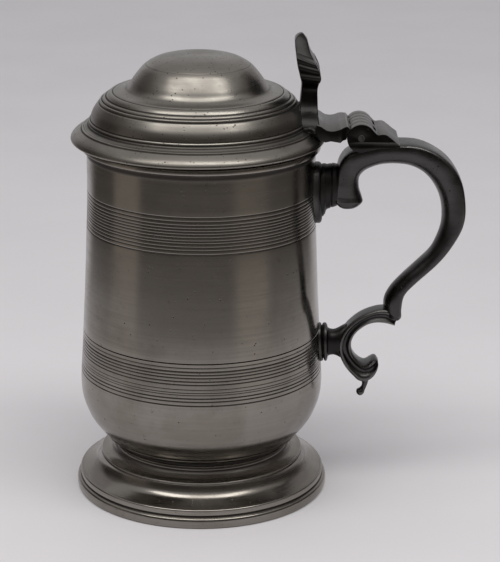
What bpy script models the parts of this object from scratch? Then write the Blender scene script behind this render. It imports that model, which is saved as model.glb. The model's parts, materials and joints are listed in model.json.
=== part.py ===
"""Lidded pewter tankard: drum, bellied bowl, foot, double-scroll handle and hinged domed lid.

Units are metres, +Z up. The foot stands on z = 0 and the handle points along +X.
The origin is under the middle of the whole object, so the drum's own axis lies at x = AXIS_X.
Outlines below are written in millimetres, measured from the drum's axis and the foot's plane.
"""
import math

import bpy
import bmesh
from mathutils import Vector

MM = 0.001
GAP = 0.3                   # clearance left between touching pieces, mm
TURN_STEPS = 40             # facets round a turned piece

# Driving dimensions, mm
FOOT_RADIUS = 58.7
HANDLE_REACH = 120.3        # furthest point of the handle from the drum's axis
DRUM_TOP = 165.3            # top face of the lip
DRUM_RADIUS = 51.9
LIP_RADIUS = 54.1
MOUTH_RADIUS = 49.7
BELLY_RADIUS = 56.1
SEAM_Z = 77.1               # solder seam between drum and bowl
BOWL_BOTTOM = 27.9
FOOT_TOP = BOWL_BOTTOM - GAP
LID_SEAT = DRUM_TOP + GAP   # plane of the lid's underside where it rests on the lip
LID_RADIUS = 57.5
LID_CROWN = 205.0
LID_SHIFT = -1.4            # the worn hinge lets the lid sit this far from the handle
BEZEL_RADIUS = 47.6
HINGE_X = 71.7
HINGE_Z = 170.0
KNUCKLE_RADIUS = 6.4
PIN_RADIUS = 1.6
HINGE_WIDTH = 28.0
KNUCKLES = 5
KNUCKLE_WIDTH = (HINGE_WIDTH - (KNUCKLES - 1) * GAP) / KNUCKLES
LEAF_WIDTH = 28.0
LEAF_BACK = 53.6            # the hinge leaf starts here and the thumbpiece ends here
THUMB_TOP = 215.2

AXIS_X = -(HANDLE_REACH - FOOT_RADIUS) / 2 * MM

PEWTER = (0.30, 0.285, 0.26)
DARK_PEWTER = (0.14, 0.135, 0.13)


# ---------------------------------------------------------------- scene helpers

def clear_scene():
    for old in list(bpy.data.objects):
        bpy.data.objects.remove(old, do_unlink=True)


def new_collection(name):
    collection = bpy.data.collections.new(name)
    bpy.context.scene.collection.children.link(collection)
    return collection


def new_material(name, colour, roughness):
    material = bpy.data.materials.new(name)
    material.use_nodes = True
    shader = material.node_tree.nodes["Principled BSDF"]
    shader.inputs["Base Color"].default_value = (*colour, 1.0)
    shader.inputs["Metallic"].default_value = 1.0
    shader.inputs["Roughness"].default_value = roughness
    return material


def new_empty(name, location):
    empty = bpy.data.objects.new(name, None)
    empty.empty_display_size = 0.01
    empty.location = location
    PARTS.objects.link(empty)
    return empty


def new_object(name, mesh, collection):
    obj = bpy.data.objects.new(name, mesh)
    collection.objects.link(obj)
    return obj


def finish_part(obj, colour, roughness, parent, smooth_angle=35.0):
    """Give a sub-part its material, shading and parent."""
    obj.data.materials.clear()
    obj.data.materials.append(new_material(obj.name + "_pewter", colour, roughness))
    obj.data.shade_smooth()
    obj.data.set_sharp_from_angle(angle=math.radians(smooth_angle))
    if parent is HINGE_AXIS:
        obj.location -= Vector((HINGE_X * MM, 0.0, HINGE_Z * MM))
    obj.parent = parent
    return obj


def make_cutter(obj):
    obj.hide_render = True
    obj.display_type = "WIRE"
    return obj


# ---------------------------------------------------------------- shape helpers

def turned(name, profile, collection, shift_x=0.0):
    """Turn a profile of (radius, height) points about Z; it runs down its outer side.

    A profile that starts and ends on the axis is left open there; any other is closed.
    """
    points = [(r * MM, 0.0, z * MM) for r, z in profile]
    edges = [(i, i + 1) for i in range(len(points) - 1)]
    if profile[0][0] > 0 or profile[-1][0] > 0:
        edges.append((len(points) - 1, 0))
    mesh = bpy.data.meshes.new(name)
    mesh.from_pydata(points, edges, [])
    obj = new_object(name, mesh, collection)
    screw = obj.modifiers.new("turn", "SCREW")
    screw.axis = "Z"
    screw.angle = 2 * math.pi
    screw.steps = TURN_STEPS
    screw.render_steps = TURN_STEPS
    screw.use_merge_vertices = True
    screw.merge_threshold = 0.00001
    obj.location.x = shift_x * MM
    return obj


def smooth_path(points, per_span):
    """Points along a Catmull-Rom curve through the given (x, z) points."""
    path = []
    for i in range(len(points) - 1):
        p0 = Vector(points[max(i - 1, 0)])
        p1 = Vector(points[i])
        p2 = Vector(points[i + 1])
        p3 = Vector(points[min(i + 2, len(points) - 1)])
        for k in range(per_span):
            t = k / per_span
            path.append(0.5 * (2 * p1 + (p2 - p0) * t + (2 * p0 - 5 * p1 + 4 * p2 - p3) * t ** 2
                               + (3 * p1 - p0 - 3 * p2 + p3) * t ** 3))
    path.append(Vector(points[-1]))
    return path


def arc(cx, cz, radius, start, end, count):
    """Points on an arc, angles in degrees from +X towards +Z."""
    angles = [math.radians(start + (end - start) * i / count) for i in range(count + 1)]
    return [(cx + radius * math.cos(a), cz + radius * math.sin(a)) for a in angles]


def baked(obj):
    """Replace a curve by the mesh it evaluates to, with its caps welded on."""
    evaluated = obj.evaluated_get(bpy.context.evaluated_depsgraph_get())
    mesh = bpy.data.meshes.new_from_object(evaluated)
    shape = bmesh.new()
    shape.from_mesh(mesh)
    bmesh.ops.remove_doubles(shape, verts=shape.verts, dist=0.000001)
    bmesh.ops.recalc_face_normals(shape, faces=shape.faces)
    shape.to_mesh(mesh)
    shape.free()
    name, matrix, collection = obj.name, obj.matrix_world.copy(), obj.users_collection[0]
    bpy.data.objects.remove(obj, do_unlink=True)
    mesh.transform(matrix)
    return new_object(name, mesh, collection)


def slab(name, outlines, width, collection, centre=0.0, facing="side"):
    """A flat outline, with any holes, given a thickness.

    facing "side": the outline lies in the XZ plane and is extruded along Y.
    facing "front": the outline lies in the YZ plane and is extruded along X.
    """
    curve = bpy.data.curves.new(name, "CURVE")
    curve.dimensions = "2D"
    curve.fill_mode = "BOTH"
    curve.extrude = width * MM / 2
    for outline in outlines:
        spline = curve.splines.new("POLY")
        spline.points.add(len(outline) - 1)
        for point, (u, v) in zip(spline.points, outline):
            point.co = (u * MM, v * MM, 0.0, 1.0)
        spline.use_cyclic_u = True
    obj = new_object(name, curve, collection)
    if facing == "side":
        obj.rotation_euler = (math.radians(90), 0.0, 0.0)
        obj.location.y = centre * MM
    else:
        obj.rotation_euler = (math.radians(90), 0.0, math.radians(90))
        obj.location.x = centre * MM
    bpy.context.view_layer.update()
    return baked(obj)


def boolean(obj, cutter, operation):
    """Cut, join or intersect now, and keep the cutter only if it cuts."""
    modifier = obj.modifiers.new(operation.lower(), "BOOLEAN")
    modifier.operation = operation
    modifier.object = cutter
    modifier.solver = "EXACT"
    bpy.context.view_layer.update()
    evaluated = obj.evaluated_get(bpy.context.evaluated_depsgraph_get())
    mesh = bpy.data.meshes.new_from_object(evaluated)
    obj.modifiers.clear()
    obj.data = mesh
    if operation != "DIFFERENCE":
        bpy.data.objects.remove(cutter, do_unlink=True)


def loft(name, stations, collection):
    """Skin a row of sections with flat ends; each section is the same number of (x, y, z)."""
    shape = bmesh.new()
    rings = [[shape.verts.new(Vector(p) * MM) for p in section] for section in stations]
    count = len(rings[0])
    for near, far in zip(rings[:-1], rings[1:]):
        for k in range(count):
            nxt = (k + 1) % count
            shape.faces.new((near[k], near[nxt], far[nxt], far[k]))
    shape.faces.new(rings[0])
    shape.faces.new(rings[-1])
    bmesh.ops.recalc_face_normals(shape, faces=shape.faces)
    mesh = bpy.data.meshes.new(name)
    shape.to_mesh(mesh)
    shape.free()
    return new_object(name, mesh, collection)


def strap(name, back, belly, half_widths, section, per_span, collection):
    """A curved bar between two side outlines, back and belly, with a width along its length.

    section lists (depth, width) pairs from the back, depth 0, to the belly, depth 1.
    """
    backs = smooth_path(back, per_span)
    bellies = smooth_path(belly, per_span)
    widths = smooth_path([(w, 0.0) for w in half_widths], per_span)
    stations = []
    for outer, inner, width in zip(backs, bellies, widths):
        ring = []
        for side, pairs in ((1, section), (-1, reversed(section))):
            for depth, share in pairs:
                point = outer.lerp(inner, depth)
                ring.append((point.x, side * share * width.x, point.y))
        stations.append(ring)
    return loft(name, stations, collection)


def oval_boss(name, stations, collection, count=20):
    """A boss along X: each station is (x, centre z, half height, half width)."""
    rings = []
    for x, centre, height, width in stations:
        ring = []
        for k in range(count):
            a = 2 * math.pi * k / count
            ring.append((x, width * math.cos(a), centre + height * math.sin(a)))
        rings.append(ring)
    return loft(name, rings, collection)


# ---------------------------------------------------------------- profiles

DRUM_OUTER = [(DRUM_RADIUS, 162.2), (DRUM_RADIUS, 143.4), (52.5, 124.5), (53.3, 105.5),
              (54.15, 88.0), (54.7, SEAM_Z + GAP)]
BOWL_OUTER = [(54.7, SEAM_Z), (55.3, 66.5), (55.9, 57.0), (BELLY_RADIUS, 52.0), (55.7, 47.5),
              (54.95, 43.5), (53.8, 40.0), (52.3, 36.6), (50.1, 33.1), (47.6, 30.0),
              (45.6, BOWL_BOTTOM)]
LID_OUTER = [(0.0, LID_CROWN), (6.0, 204.9), (11.0, 204.4), (15.5, 203.5), (19.0, 202.4),
             (22.0, 201.2), (25.0, 199.3), (27.4, 196.6), (29.4, 193.9), (31.2, 191.6),
             (33.2, 189.8), (35.4, 189.0), (38.3, 188.3), (41.2, 186.6), (44.3, 184.2),
             (46.0, 182.0), (47.5, 179.6), (48.5, 177.0), (49.1, 175.4), (50.1, 173.4),
             (51.9, 172.4), (54.6, 170.9), (56.6, 169.1), (LID_RADIUS, 167.6),
             (57.3, 166.8)]


def offset_profile(profile, amount, top, bottom):
    """The profile grown outwards and upwards, closed on the axis at the two heights."""
    grown = [(r + amount, z + amount) for r, z in profile if r > 0]
    return [(0.0, top), (grown[0][0], top)] + grown[1:] + [(grown[-1][0], bottom), (0.0, bottom)]


def wall_envelope():
    """Cutter for whatever is soldered to the wall: drum and bowl with a clearance."""
    wall = DRUM_OUTER + BOWL_OUTER
    profile = [(0.0, 170.0)] + [(r + GAP, z) for r, z in wall] + [(0.0, BOWL_BOTTOM)]
    profile.insert(1, (DRUM_RADIUS + GAP, 170.0))
    return make_cutter(turned("wall_envelope", profile, CUTTERS))


def lid_envelope():
    """Cutter for whatever is soldered on the lid."""
    profile = offset_profile(LID_OUTER, GAP, LID_CROWN + GAP, LID_SEAT)
    return make_cutter(turned("lid_envelope", profile, CUTTERS, LID_SHIFT))


# ---------------------------------------------------------------- vessel

def make_drum():
    profile = [(MOUTH_RADIUS, DRUM_TOP), (LIP_RADIUS - 0.5, DRUM_TOP), (LIP_RADIUS, DRUM_TOP - 0.6),
               (LIP_RADIUS, 163.2), (LIP_RADIUS - 0.6, 162.7)]
    profile += DRUM_OUTER
    profile += [(52.4, SEAM_Z + GAP), (51.1, 105.5), (50.2, 124.5), (MOUTH_RADIUS, 143.4)]
    return finish_part(turned("drum", profile, PARTS), PEWTER, 0.32, VESSEL)


def make_bowl():
    profile = BOWL_OUTER + [(44.2, BOWL_BOTTOM), (44.2, 31.1), (46.6, 33.0), (49.5, 37.2),
                            (51.6, 41.4), (52.9, 45.6), (53.6, 51.0), (53.5, 57.0),
                            (52.4, SEAM_Z)]
    return finish_part(turned("bowl", profile, PARTS), PEWTER, 0.32, VESSEL)


def make_base_disc():
    radius = 44.2 - GAP
    profile = [(0.0, 31.0), (radius, 31.0), (radius, 28.4), (0.0, 28.4)]
    return finish_part(turned("base_disc", profile, PARTS), PEWTER, 0.4, VESSEL)


def make_foot():
    outer = [(45.3, FOOT_TOP), (45.2, 27.0), (42.2, 25.4), (40.5, 23.6), (40.9, 22.6),
             (40.6, 21.7), (41.6, 19.6), (44.2, 17.9), (46.9, 17.3), (47.6, 16.0), (48.4, 13.6),
             (50.4, 11.4), (53.2, 9.8), (55.7, 8.3), (57.1, 6.3), (56.9, 5.3), (58.3, 4.4),
             (FOOT_RADIUS, 3.6), (FOOT_RADIUS, 0.4), (58.4, 0.0)]
    inner = [(55.0, 0.0), (54.4, 4.0), (50.0, 8.6), (46.2, 11.6), (44.6, 14.8), (40.0, 17.6),
             (38.2, 20.6), (38.0, FOOT_TOP)]
    return finish_part(turned("foot_ring", outer + inner, PARTS), PEWTER, 0.32, VESSEL)


# ---------------------------------------------------------------- handle

HANDLE_SECTION = [(0.0, 0.84), (0.06, 0.96), (0.22, 1.0), (0.55, 0.93), (0.85, 0.68), (1.0, 0.34)]


def make_upper_socket(envelope):
    boss = oval_boss("upper_socket", [
        (49.0, 142.0, 13.4, 10.4), (54.2, 142.0, 13.4, 10.4), (55.6, 142.1, 12.9, 10.0),
        (56.2, 142.6, 11.9, 9.2), (57.2, 142.9, 12.0, 9.3), (58.0, 143.6, 11.0, 8.4),
        (59.3, 144.2, 10.2, 7.8), (61.2, 144.4, 10.4, 7.6)], PARTS)
    boolean(boss, envelope, "DIFFERENCE")
    return finish_part(boss, DARK_PEWTER, 0.45, VESSEL)


def make_lower_socket(envelope):
    centre = 69.2
    boss = oval_boss("lower_socket", [
        (51.0, centre, 8.6, 7.4), (55.9, centre, 8.6, 7.4), (56.6, centre, 7.6, 6.6),
        (57.3, centre, 8.6, 7.4), (58.3, centre, 8.7, 7.5), (58.8, centre, 7.2, 6.2),
        (60.2, centre, 5.9, 5.2), (61.8, centre, 5.6, 4.9), (63.2, centre, 5.8, 4.9)], PARTS)
    boolean(boss, envelope, "DIFFERENCE")
    return finish_part(boss, DARK_PEWTER, 0.45, VESSEL)


def make_upper_scroll():
    back = [(64.8, 134.9), (62.4, 138.0), (61.7, 146.0), (62.4, 155.6), (65.6, 160.5), (71.0, 162.8),
            (79.0, 164.8), (88.0, 165.6), (98.2, 165.0), (107.0, 161.2), (114.1, 154.8),
            (118.4, 146.6), (HANDLE_REACH - 0.25, 136.5), (119.3, 127.2), (114.6, 117.6),
            (107.9, 108.7), (98.9, 100.0), (93.4, 93.4), (92.3, 86.8), (92.5, 81.5)]
    belly = [(71.0, 135.1), (73.3, 137.4), (71.7, 144.2), (71.9, 149.0), (74.0, 151.9), (77.4, 153.8),
             (82.0, 155.2), (88.0, 155.6), (94.5, 154.7), (100.6, 151.6), (105.2, 146.8),
             (108.4, 140.6), (109.7, 133.4), (109.2, 125.5), (105.1, 115.6), (99.0, 108.9),
             (91.8, 102.1), (86.9, 96.4), (84.4, 91.0), (85.3, 83.2)]
    widths = [4.6, 6.2, 7.2, 8.0, 8.6, 8.9, 9.0, 9.0, 9.0, 8.8, 8.6, 8.4, 8.2, 7.9, 7.5, 7.1,
              6.7, 6.4, 6.3, 6.4]
    obj = strap("upper_scroll", back, belly, widths, HANDLE_SECTION, 2, PARTS)
    return finish_part(obj, DARK_PEWTER, 0.4, VESSEL)


def make_lower_scroll():
    back = [(90.8, 81.2), (87.8, 81.9), (85.0, 82.5), (82.6, 85.6), (78.4, 85.2), (74.0, 83.2),
            (70.2, 80.4), (67.1, 77.2), (64.9, 73.6), (63.8, 69.8), (63.9, 66.0), (65.2, 62.0),
            (67.8, 57.6), (71.0, 53.4), (75.0, 50.2), (79.0, 50.0), (82.0, 52.6), (83.4, 56.6),
            (83.2, 59.4)]
    belly = [(89.8, 78.3), (86.8, 79.3), (84.0, 79.8), (81.0, 79.9), (77.8, 79.2), (75.0, 77.6),
             (72.4, 75.4), (70.6, 72.8), (69.7, 70.0), (69.8, 66.9), (70.8, 64.2), (72.6, 61.8),
             (74.8, 60.0), (76.6, 59.2), (78.2, 59.2), (79.6, 59.8), (80.8, 60.6), (81.8, 61.0),
             (82.5, 60.8)]
    widths = [4.6, 4.9, 5.0, 5.0, 5.0, 5.0, 5.0, 5.1, 5.2, 5.3, 5.4, 5.5, 5.7, 5.9, 6.0, 5.8,
              5.0, 3.8, 2.4]
    obj = strap("lower_scroll", back, belly, widths, HANDLE_SECTION, 2, PARTS)
    curl = bpy.data.curves.new("curl", "CURVE")
    curl.dimensions = "3D"
    curl.bevel_depth = 1.7 * MM
    curl.bevel_resolution = 2
    curl.use_fill_caps = True
    path = smooth_path([(77.0, 52.0), (77.4, 48.6), (77.3, 45.8), (75.7, 43.6), (74.0, 43.6)], 3)
    spline = curl.splines.new("POLY")
    spline.points.add(len(path) - 1)
    for point, place in zip(spline.points, path):
        point.co = (place.x * MM, 0.0, place.y * MM, 1.0)
    boolean(obj, baked(new_object("curl", curl, CUTTERS)), "UNION")
    return finish_part(obj, DARK_PEWTER, 0.4, VESSEL)


def knuckle_centre(index):
    return (index - (KNUCKLES - 1) / 2) * (KNUCKLE_WIDTH + GAP)


def pin_hole():
    """Cutter for the pin's bore through every knuckle."""
    outline = arc(HINGE_X, HINGE_Z, PIN_RADIUS + GAP, 0, 345, 23)
    return make_cutter(slab("pin_hole", [outline], HINGE_WIDTH + 4, CUTTERS))


def cut_slots(obj, indices, outline):
    """Cut away the places of the other half's knuckles, with their clearance."""
    for index in indices:
        slot = slab("slot", [outline], KNUCKLE_WIDTH + 2 * GAP, CUTTERS, knuckle_centre(index))
        boolean(obj, slot, "DIFFERENCE")
        bpy.data.objects.remove(slot, do_unlink=True)


def make_hinge_block(hole):
    """The stepped saddle on the handle's back, ending in three of the five knuckles."""
    outline = arc(HINGE_X, HINGE_Z, KNUCKLE_RADIUS, 30, 240, 18)
    outline += [(70.6, 163.7), (72.4, 163.8), (79.0, 165.5), (88.6, 166.3), (88.8, 167.0),
                (86.6, 168.8), (84.4, 170.6), (82.2, 171.8), (79.4, 171.8), (78.2, 172.5)]
    obj = slab("hinge_block", [outline], HINGE_WIDTH, PARTS)
    edge = HINGE_X + KNUCKLE_RADIUS + GAP
    cut_slots(obj, (1, 3), [(60.0, 160.0), (edge, 160.0), (edge, 180.0), (60.0, 180.0)])
    boolean(obj, hole, "DIFFERENCE")
    return finish_part(obj, DARK_PEWTER, 0.45, VESSEL)


def make_hinge_pin():
    outline = arc(HINGE_X, HINGE_Z, PIN_RADIUS, 0, 345, 23)
    obj = slab("hinge_pin", [outline], HINGE_WIDTH + 1.0, PARTS)
    return finish_part(obj, DARK_PEWTER, 0.35, VESSEL)


# ---------------------------------------------------------------- lid

def make_lid():
    inner = [(53.2, 166.8), (52.6, LID_SEAT), (BEZEL_RADIUS + GAP, LID_SEAT), (47.9, 168.0),
             (47.0, 175.4), (44.4, 180.2), (41.0, 183.8), (36.0, 186.2), (31.4, 187.4),
             (28.2, 191.0), (24.6, 195.6), (20.6, 198.8), (12.0, 201.8), (0.0, 202.6)]
    return finish_part(turned("lid_cover", LID_OUTER + inner, PARTS, LID_SHIFT), PEWTER, 0.32,
                       HINGE_AXIS)


def make_bezel():
    profile = [(45.8, 167.6), (BEZEL_RADIUS, 167.6), (BEZEL_RADIUS, 161.0),
               (BEZEL_RADIUS - 0.5, 160.4), (45.8, 160.4)]
    return finish_part(turned("lid_bezel", profile, PARTS, LID_SHIFT), PEWTER, 0.38, HINGE_AXIS)


def make_hinge_leaf(envelope, hole):
    """The concave plate on the lid's rim, with two knuckles between those of the handle."""
    top = smooth_path([(LEAF_BACK, 176.0), (55.6, 174.5), (57.5, 173.9), (60.0, 174.0),
                       (63.5, 175.2), (65.5, 175.4)], 3)
    outline = [tuple(p) for p in top] + [(66.3, 174.3)]
    outline += arc(HINGE_X, HINGE_Z, KNUCKLE_RADIUS, 136, -128, 24)
    outline += [(61.7, 168.2), (58.0, 168.3), (LEAF_BACK, 168.2)]
    obj = slab("hinge_leaf", [outline], LEAF_WIDTH, PARTS)
    clearance = KNUCKLE_RADIUS + GAP
    slot = arc(HINGE_X, HINGE_Z, clearance, 100, 230, 12)
    slot += [(67.4, 160.0), (80.0, 160.0), (80.0, 180.0), (70.5, 180.0)]
    cut_slots(obj, (0, 2, 4), slot)
    boolean(obj, hole, "DIFFERENCE")
    boolean(obj, envelope, "DIFFERENCE")
    return finish_part(obj, DARK_PEWTER, 0.45, HINGE_AXIS)


def make_thumbpiece(envelope):
    """Lever and pierced chair-back thumb rest: its front outline meets its side outline."""
    front = [(12.0, 168.0), (12.0, 175.0), (10.6, 178.4), (7.4, 181.0), (5.7, 185.0), (5.5, 189.4),
             (6.6, 192.4), (10.0, 193.8), (12.3, 196.4), (12.8, 199.8), (11.9, 203.2),
             (9.6, 205.4), (7.2, 206.4), (6.5, 208.2), (7.0, 210.6), (6.0, 213.4),
             (3.2, THUMB_TOP - 0.2), (0.0, THUMB_TOP)]
    half = [tuple(p) for p in smooth_path(front[1:], 2)]
    outline = [front[0]] + half + [(-y, z) for y, z in reversed(half[:-1])] + [(-12.0, 168.0)]
    holes = []
    for side in (-1, 1):
        turn = [2 * math.pi * k / 14 for k in range(14)]
        holes.append([(side * 6.1 + 2.9 * math.cos(a), 199.6 + 3.9 * math.sin(a)) for a in turn])
    back = [(43.0, 170.0), (44.4, 181.5), (44.9, 188.0), (44.6, 193.0), (43.4, 198.6),
            (41.9, 204.6), (41.2, 209.6), (41.4, 212.8), (42.9, 214.7), (44.8, THUMB_TOP)]
    rise = [(44.8, THUMB_TOP), (46.8, 214.2), (47.9, 211.2), (49.2, 207.2), (51.4, 203.6),
            (52.8, 200.2), (53.5, 196.6), (53.2, 194.4), (52.2, 192.0), (52.0, 187.0),
            (52.3, 182.0), (LEAF_BACK - GAP, 178.4), (LEAF_BACK - GAP, 170.0)]
    side = [tuple(p) for p in smooth_path(back, 2)[:-1] + smooth_path(rise, 2)]
    obj = slab("thumbpiece", [outline] + holes, 30.0, PARTS, 48.0, "front")
    boolean(obj, slab("side_view", [side], 40.0, CUTTERS), "INTERSECT")
    boolean(obj, envelope, "DIFFERENCE")
    return finish_part(obj, DARK_PEWTER, 0.45, HINGE_AXIS)


# ---------------------------------------------------------------- build

clear_scene()
PARTS = new_collection("pewter_tankard")
CUTTERS = new_collection("cutters")
VESSEL = new_empty("vessel_axis", (AXIS_X, 0.0, 0.0))
HINGE_AXIS = new_empty("hinge_axis", (HINGE_X * MM, 0.0, HINGE_Z * MM))
HINGE_AXIS.parent = VESSEL

make_drum()
make_bowl()
make_base_disc()
make_foot()
WALL = wall_envelope()
make_upper_socket(WALL)
make_lower_socket(WALL)
make_upper_scroll()
make_lower_scroll()
BORE = pin_hole()
make_hinge_block(BORE)
make_hinge_pin()
make_lid()
make_bezel()
LID = lid_envelope()
make_hinge_leaf(LID, BORE)
make_thumbpiece(LID)
bpy.context.view_layer.update()
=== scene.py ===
"""Lidded pewter tankard: fine surfaces, materials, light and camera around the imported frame.

Outlines are in millimetres, with +X towards the handle. They are measured from the plane the
foot stands on and the drum's axis, or the lid's own axis for the lid and its bezel. Every piece
rides on a body of the frame. Each stands for a node, but for the curl and the solder, which are
extra.
"""

import json
import math

import bmesh
import bpy
import numpy as np
from mathutils import Matrix, Vector, noise


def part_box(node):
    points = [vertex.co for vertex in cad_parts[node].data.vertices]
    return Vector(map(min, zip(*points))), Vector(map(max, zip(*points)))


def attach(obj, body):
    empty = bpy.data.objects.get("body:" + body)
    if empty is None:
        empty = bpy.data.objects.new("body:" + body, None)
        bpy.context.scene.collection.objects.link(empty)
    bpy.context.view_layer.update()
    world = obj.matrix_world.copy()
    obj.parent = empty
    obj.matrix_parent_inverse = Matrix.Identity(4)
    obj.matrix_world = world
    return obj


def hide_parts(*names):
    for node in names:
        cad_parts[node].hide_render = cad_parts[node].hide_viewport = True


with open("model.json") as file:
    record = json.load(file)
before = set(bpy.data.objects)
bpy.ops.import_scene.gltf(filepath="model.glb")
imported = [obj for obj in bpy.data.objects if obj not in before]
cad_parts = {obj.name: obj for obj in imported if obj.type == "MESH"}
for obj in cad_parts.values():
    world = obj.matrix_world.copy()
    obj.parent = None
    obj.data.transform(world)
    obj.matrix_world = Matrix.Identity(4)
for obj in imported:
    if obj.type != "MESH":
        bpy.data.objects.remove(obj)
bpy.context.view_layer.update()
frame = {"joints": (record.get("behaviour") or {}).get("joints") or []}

MM = 0.001
FOOT_LOW, FOOT_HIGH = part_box("foot_ring")
AXIS_X = (FOOT_LOW.x + FOOT_HIGH.x) / 2
LID_LOW, LID_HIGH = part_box("lid_cover")
LID_SHIFT = ((LID_LOW.x + LID_HIGH.x) / 2 - AXIS_X) / MM
JOINT = frame["joints"][0]["pos_m"]
HINGE_X = (JOINT[0] - AXIS_X) / MM
HINGE_Z = JOINT[2] / MM

TURN_STEPS = 288            # facets round a turned piece
KNUCKLES = 5
KNUCKLE_GAP = 0.3           # between neighbouring knuckles, and round each one
KNUCKLE_RADIUS = 6.4
HINGE_WIDTH = 28.0
PIN_RADIUS = 1.6
BORE_GAP = 0.1              # round the pin
PAPER = (0.78, 0.765, 0.785)    # the colour of the paper underfoot


# ---------------------------------------------------------------- outlines

def smooth(points, per_span=8):
    """Points along a centripetal Catmull-Rom curve through the given ones, of any dimension."""
    given = [np.array(p, float) for p in points]
    given = [2 * given[0] - given[1]] + given + [2 * given[-1] - given[-2]]
    path = []
    for p0, p1, p2, p3 in zip(given[:-3], given[1:-2], given[2:-1], given[3:]):
        t1 = max(np.linalg.norm(p1 - p0), 1e-6) ** 0.5
        t2 = t1 + max(np.linalg.norm(p2 - p1), 1e-6) ** 0.5
        t3 = t2 + max(np.linalg.norm(p3 - p2), 1e-6) ** 0.5
        for t in np.linspace(t1, t2, per_span, endpoint=False):
            a1 = (t1 - t) / t1 * p0 + t / t1 * p1
            a2 = (t2 - t) / (t2 - t1) * p1 + (t - t1) / (t2 - t1) * p2
            a3 = (t3 - t) / (t3 - t2) * p2 + (t - t2) / (t3 - t2) * p3
            b1 = (t2 - t) / t2 * a1 + t / t2 * a2
            b2 = (t3 - t) / (t3 - t1) * a2 + (t - t1) / (t3 - t1) * a3
            path.append((t2 - t) / (t2 - t1) * b1 + (t - t1) / (t2 - t1) * b2)
    path.append(given[-2])
    return [tuple(float(v) for v in p) for p in path]


def arc(cx, cz, radius, start, end, count):
    """Points on an arc, angles in degrees from +X towards +Z."""
    angles = [math.radians(start + (end - start) * i / count) for i in range(count + 1)]
    return [(cx + radius * math.cos(a), cz + radius * math.sin(a)) for a in angles]


def circle(count):
    """Angles evenly round a circle, in radians."""
    return [2 * math.pi * k / count for k in range(count)]


# ---------------------------------------------------------------- mesh helpers

def add_object(name, data):
    obj = bpy.data.objects.new(name, data)
    bpy.context.scene.collection.objects.link(obj)
    return obj


def mesh_from(shape, name):
    """Turn a finished bmesh into a mesh."""
    mesh = bpy.data.meshes.new(name)
    shape.to_mesh(mesh)
    shape.free()
    return mesh


def new_piece(name, shape, origin_x=0.0):
    """An object of the tankard, its origin on the drum's axis or origin_x mm from it."""
    obj = add_object(name, mesh_from(shape, name))
    obj.location = (AXIS_X + origin_x * MM, 0.0, 0.0)
    return obj


def shade(obj, angle=32.0):
    obj.data.shade_smooth()
    obj.data.set_sharp_from_angle(angle=math.radians(angle))


def turned(name, outer, inner, origin_x=0.0):
    """A solid of revolution: outer runs down the outside, inner back up the inside."""
    profile = list(outer) + list(inner)
    closed = profile[0][0] > 0 or profile[-1][0] > 0
    shape = bmesh.new()
    rings = []
    for radius, height in profile:
        if radius <= 0:
            rings.append([shape.verts.new((0.0, 0.0, height * MM))] * TURN_STEPS)
            continue
        rings.append([shape.verts.new((radius * MM * math.cos(a), radius * MM * math.sin(a),
                                       height * MM)) for a in circle(TURN_STEPS)])
    pairs = list(zip(rings[:-1], rings[1:]))
    if closed:
        pairs.append((rings[-1], rings[0]))
    for upper, lower in pairs:
        for k in range(TURN_STEPS):
            nxt = (k + 1) % TURN_STEPS
            corners = []
            for vert in (upper[k], lower[k], lower[nxt], upper[nxt]):
                if vert not in corners:
                    corners.append(vert)
            if len(corners) > 2:
                shape.faces.new(corners)
    bmesh.ops.recalc_face_normals(shape, faces=shape.faces)
    obj = new_piece(name, shape, origin_x)
    mark_hollows(obj, profile)
    shade(obj)
    return obj


def mark_hollows(obj, profile):
    """Store on each point how hollow (+) or proud (-) the turned profile is there."""
    line = np.array(profile, float)
    steps = np.linalg.norm(np.diff(line, axis=0), axis=1)
    run = np.concatenate([[0], np.cumsum(steps)])
    reach = 0.5             # mm along the profile to each side
    values = []
    for here, point in zip(run, line):
        before = np.array([np.interp(here - reach, run, line[:, i]) for i in (0, 1)])
        after = np.array([np.interp(here + reach, run, line[:, i]) for i in (0, 1)])
        along = after - before
        length = max(np.linalg.norm(along), 1e-6)
        normal = np.array([-along[1], along[0]]) / length
        values.append(float(((before + after) / 2 - point) @ normal) / reach)
    attribute = obj.data.attributes.new("hollow", "FLOAT", "POINT")
    index = 0
    data = np.zeros(len(obj.data.vertices), np.float32)
    for (radius, _), value in zip(profile, values):
        count = 1 if radius <= 0 else TURN_STEPS
        data[index:index + count] = value
        index += count
    attribute.data.foreach_set("value", data)


def skin(name, rings, smooth_angle=32.0):
    """Join a row of closed rings of points in mm, with flat ends."""
    shape = bmesh.new()
    rows = [[shape.verts.new(Vector(p) * MM) for p in ring] for ring in rings]
    count = len(rows[0])
    for near, far in zip(rows[:-1], rows[1:]):
        for k in range(count):
            nxt = (k + 1) % count
            shape.faces.new((near[k], near[nxt], far[nxt], far[k]))
    shape.faces.new(rows[0])
    shape.faces.new(rows[-1])
    bmesh.ops.recalc_face_normals(shape, faces=shape.faces)
    obj = new_piece(name, shape)
    shade(obj, smooth_angle)
    return obj


def plate(name, outline, width, centre=0.0):
    """An outline in the XZ plane given a thickness along Y."""
    near = [(x, centre - width / 2, z) for x, z in outline]
    far = [(x, centre + width / 2, z) for x, z in outline]
    return skin(name, [near, far])


def round_edges(obj, width):
    """Round the edges that turn by more than 45 degrees, and leave the rest."""
    modifier = obj.modifiers.new("rounded", "BEVEL")
    modifier.width = width * MM
    modifier.segments = 2
    modifier.limit_method = "ANGLE"
    modifier.angle_limit = math.radians(45.0)
    apply_modifiers(obj)
    shade(obj, 40.0)


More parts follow.
